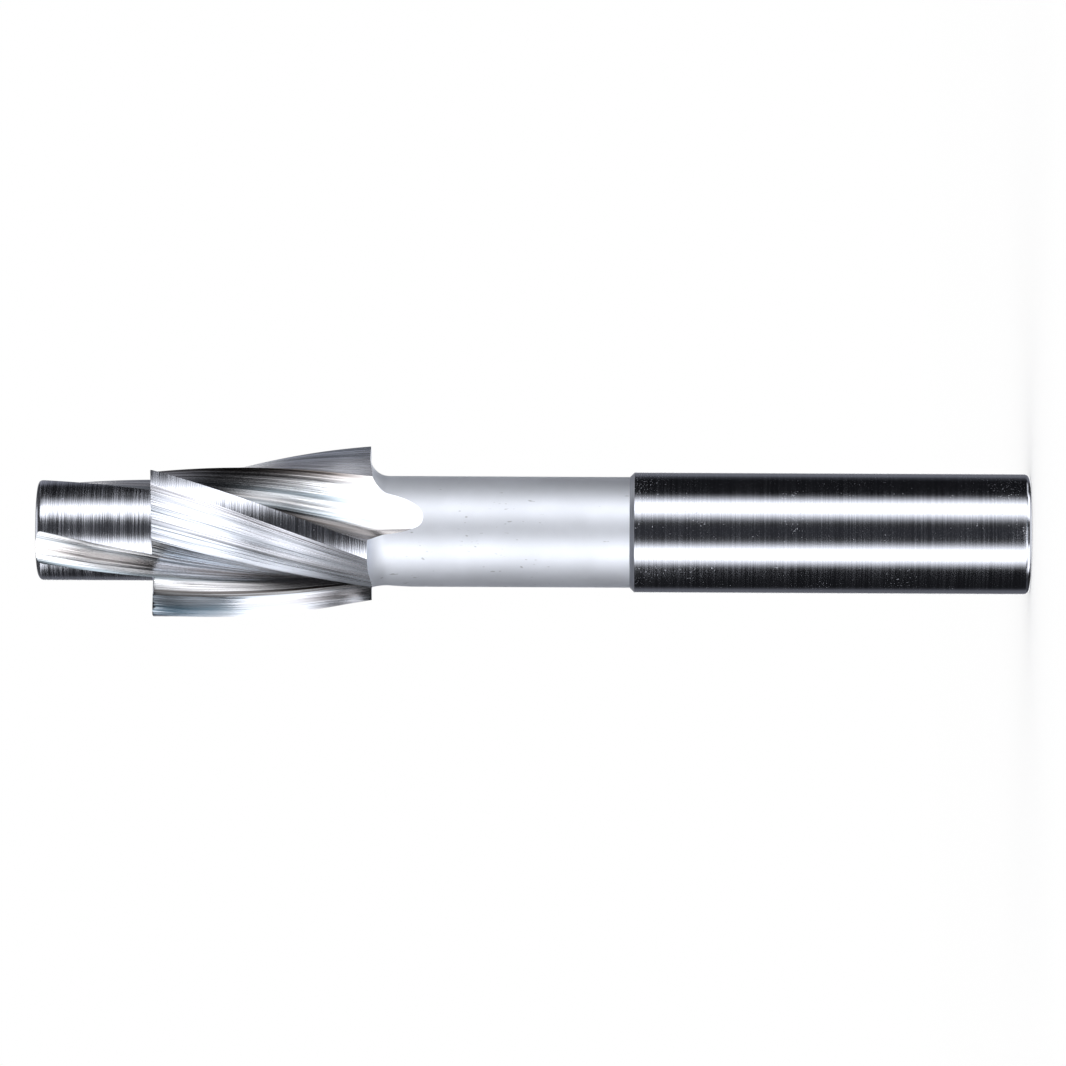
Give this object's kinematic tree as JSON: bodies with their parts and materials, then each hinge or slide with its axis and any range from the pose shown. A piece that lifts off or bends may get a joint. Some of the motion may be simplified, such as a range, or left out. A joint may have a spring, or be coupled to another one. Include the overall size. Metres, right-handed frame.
{
  "type": "counterbore cutter",
  "caption": "Solid counterbore cutter with a round guide pilot, a helically fluted cutting head, a slim neck and a parallel shank for a drill chuck.",
  "frame": {"origin": "centre of the flat end face of the shank, on the axis of the tool", "axes": "+Z along the axis from the shank to the pilot, so the tool stands on its shank; -Y faces the viewer of the picture and +X is up in it"},
  "size_m": [0.0178, 0.0177, 0.103],
  "materials": {
    "tool_steel": "ground bright on pilot, head and shank, matt blasted on the neck"
  },
  "bodies": {
    "root": {"counterbore_cutter": "tool_steel"}
  },
  "joints": []
}
